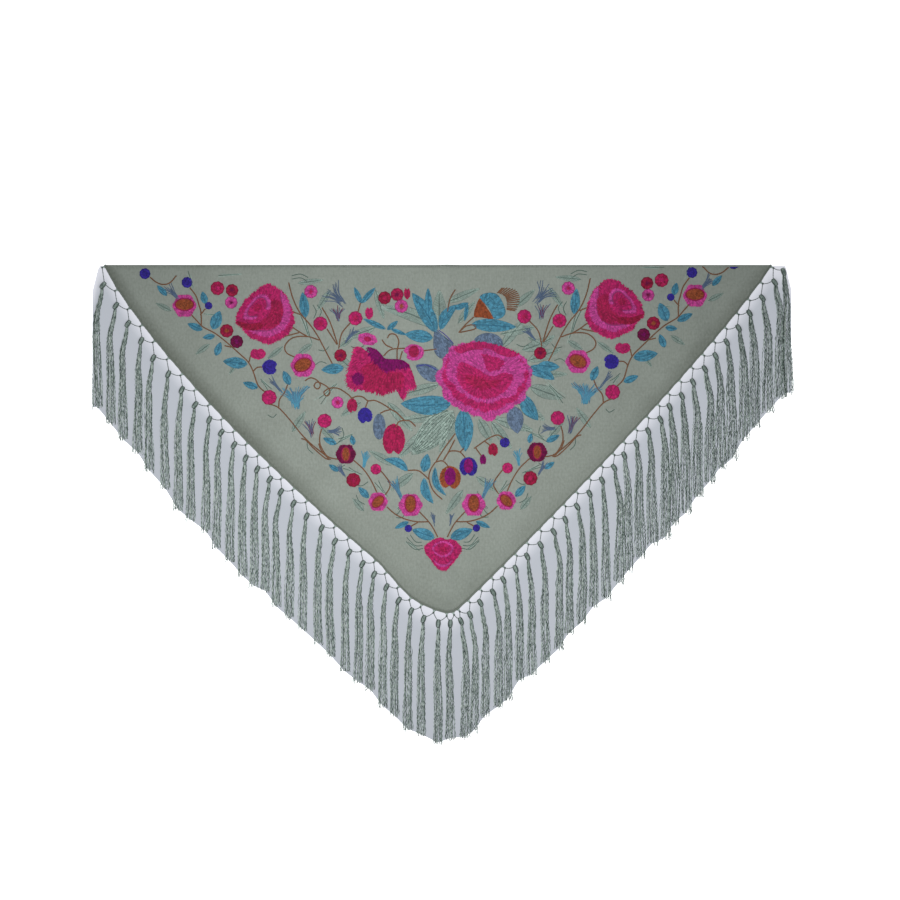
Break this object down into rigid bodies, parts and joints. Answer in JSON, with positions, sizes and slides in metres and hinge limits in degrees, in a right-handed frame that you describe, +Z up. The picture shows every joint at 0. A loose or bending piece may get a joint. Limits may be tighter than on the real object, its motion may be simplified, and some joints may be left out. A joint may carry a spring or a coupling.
{
  "type": "flamenco shawl",
  "caption": "Triangular embroidered dance shawl laid flat, with a rolled hem and a net of knots carrying long tassels along its two short edges.",
  "frame": {"origin": "under the middle of the whole shawl's box, on the surface that it lies on", "axes": "+X along the long straight edge, +Y from the point towards the long straight edge, +Z up from the surface"},
  "size_m": [1.6754, 1.153, 0.0097],
  "materials": {
    "cloth": "plain woven cloth, low sheen, sage green grey",
    "fringe": "crimped silky yarn, grey green",
    "embroidery": "glossy embroidery thread, several colours"
  },
  "bodies": {
    "root": {"cloth_panel": "cloth", "fringe_left": "fringe", "fringe_right": "fringe"}
  },
  "joints": []
}
